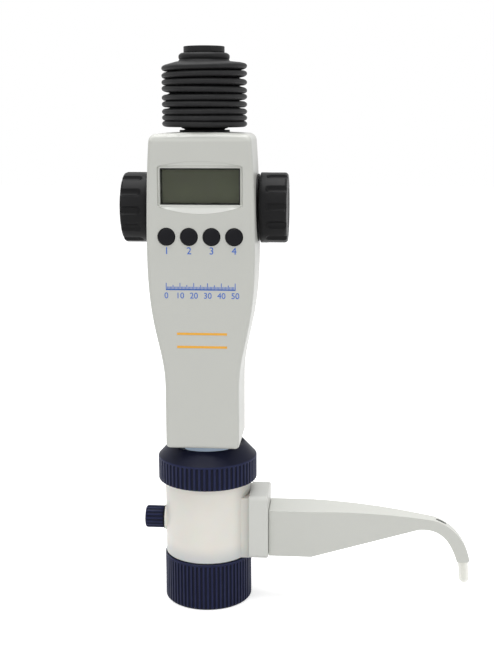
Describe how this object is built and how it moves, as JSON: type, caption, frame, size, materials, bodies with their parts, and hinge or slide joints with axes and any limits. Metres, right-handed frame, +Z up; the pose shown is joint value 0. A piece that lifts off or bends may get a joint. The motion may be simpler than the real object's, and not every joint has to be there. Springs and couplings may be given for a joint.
{
  "type": "bottle-top burette",
  "caption": "Electronic piston burette that screws onto a bottle: display, side hand wheels on a rack drive, rubber bellows, ribbed nut and ring, hooked discharge arm.",
  "frame": {"origin": "centre of the bottle ring's threaded mouth at its lower face, on the burette's axis", "axes": "+Z up along the piston, display faces -Y, discharge arm along +X"},
  "size_m": [0.2159, 0.062, 0.344],
  "materials": {
    "housing_plastic": "fine satin moulding",
    "arm_plastic": "fine satin moulding",
    "mount_plastic": "fine satin moulding",
    "natural_block": "milky, slightly translucent",
    "navy_plastic": "ribbed satin moulding",
    "black_rubber": "matt moulded rubber",
    "black_plastic": "satin moulding",
    "white_fluoropolymer": "turned, waxy",
    "clear_tube": "milky clear",
    "barrel_glass": "precision ground glass",
    "sleeve_clear": "clear plastic, faint blue",
    "steel": "ground",
    "ball_ceramic": "polished ceramic",
    "board_green": "solder mask",
    "display_grey": "display glass",
    "battery_jacket": "printed film"
  },
  "bodies": {
    "burette_body": {"ring_clip": "steel", "valve_block": "natural_block", "inlet_valve_seat": "white_fluoropolymer", "inlet_ball_stop": "white_fluoropolymer", "outlet_valve_seat": "white_fluoropolymer", "glass_cylinder": "barrel_glass", "cylinder_seal": "black_rubber", "cylinder_sleeve": "sleeve_clear", "front_shell": "housing_plastic", "rear_shell": "housing_plastic", "shell_screws": "steel", "display_window": "sleeve_clear", "lcd_module": "display_grey", "circuit_board": "board_green", "tact_switches": "black_plastic", "keypad_mat": "black_rubber", "chassis": "black_plastic", "chassis_screws": "steel", "rack_guide": "white_fluoropolymer", "optical_sensor": "black_plastic", "battery_tray": "black_plastic", "batteries": "battery_jacket", "battery_contacts": "steel", "top_collar": "black_rubber", "bellows": "black_rubber", "bearing_left": "black_plastic", "bearing_right": "black_plastic", "arm_mount": "mount_plastic", "arm_mount_screws": "steel", "arm_shell": "arm_plastic", "discharge_tube": "clear_tube", "knob_washer": "black_rubber"},
    "hand_drive": {"drive_shaft": "steel", "pinion": "steel", "hand_wheel_left": "black_plastic", "hand_wheel_right": "black_plastic", "wheel_cap_left": "black_plastic", "wheel_cap_right": "black_plastic", "wheel_screws": "steel", "encoder_disc": "black_plastic", "shaft_circlips": "steel"},
    "piston_rack": {"rack_rod": "steel", "piston": "white_fluoropolymer", "piston_seals": "white_fluoropolymer", "bellows_cap": "black_rubber"},
    "memory_button": {"memory_button": "black_plastic"},
    "dose_button": {"dose_button": "black_plastic"},
    "titrate_button": {"titrate_button": "black_plastic"},
    "reset_button": {"reset_button": "black_plastic"},
    "priming_valve": {"valve_knob": "navy_plastic", "valve_spindle": "white_fluoropolymer", "spindle_seals": "black_rubber"},
    "union_nut": {"union_nut": "navy_plastic"},
    "bottle_ring": {"bottle_ring": "navy_plastic"},
    "tip_cap": {"tip_cap": "clear_tube"},
    "battery_cover": {"battery_cover": "housing_plastic"},
    "inlet_ball": {"inlet_ball": "ball_ceramic"},
    "outlet_ball": {"outlet_ball": "ball_ceramic"}
  },
  "joints": [
    {"name": "hand_wheels_turn", "type": "hinge", "parent": "burette_body", "child": "hand_drive", "pos_m": [0, 0.005, 0.249], "axis": [-1, 0, 0], "range_deg": [0, 972.2]},
    {"name": "piston_lift", "type": "slide", "parent": "burette_body", "child": "piston_rack", "axis": [0, 0, 1], "range_m": [0, 0.1018], "deforming": ["bellows"]},
    {"name": "memory_button_press", "type": "slide", "parent": "burette_body", "child": "memory_button", "axis": [0, 1, 0], "range_m": [0, 0.0008], "stiffness_N_per_m": 600, "springref_m": -0.0008},
    {"name": "dose_button_press", "type": "slide", "parent": "burette_body", "child": "dose_button", "axis": [0, 1, 0], "range_m": [0, 0.0008], "stiffness_N_per_m": 600, "springref_m": -0.0008},
    {"name": "titrate_button_press", "type": "slide", "parent": "burette_body", "child": "titrate_button", "axis": [0, 1, 0], "range_m": [0, 0.0008], "stiffness_N_per_m": 600, "springref_m": -0.0008},
    {"name": "reset_button_press", "type": "slide", "parent": "burette_body", "child": "reset_button", "axis": [0, 1, 0], "range_m": [0, 0.0008], "stiffness_N_per_m": 600, "springref_m": -0.0008},
    {"name": "priming_valve_turn", "type": "hinge", "parent": "burette_body", "child": "priming_valve", "pos_m": [-0.034, 0, 0.051], "axis": [-1, 0, 0], "range_deg": [0, 90]},
    {"name": "union_nut_turn", "type": "hinge", "parent": "burette_body", "child": "union_nut", "pos_m": [0, 0, 0.0865], "axis": [0, 0, 1], "continuous": true},
    {"name": "bottle_ring_turn", "type": "hinge", "parent": "burette_body", "child": "bottle_ring", "pos_m": [0, 0, 0.028], "axis": [0, 0, 1], "continuous": true},
    {"name": "tip_cap_pull", "type": "slide", "parent": "burette_body", "child": "tip_cap", "axis": [0.0958, 0, -0.9954], "range_m": [0, 0.02]},
    {"name": "battery_cover_pull", "type": "slide", "parent": "burette_body", "child": "battery_cover", "axis": [0, 1, 0], "range_m": [0, 0.025]},
    {"name": "inlet_ball_lift", "type": "slide", "parent": "burette_body", "child": "inlet_ball", "axis": [0, 0, 1], "range_m": [0, 0.001]},
    {"name": "outlet_ball_lift", "type": "slide", "parent": "burette_body", "child": "outlet_ball", "axis": [0, 0, 1], "range_m": [0, 0.001]}
  ],
  "couplings": [
    {"joint": "hand_wheels_turn", "follows": "piston_lift", "rad_per_m": 166.67}
  ]
}
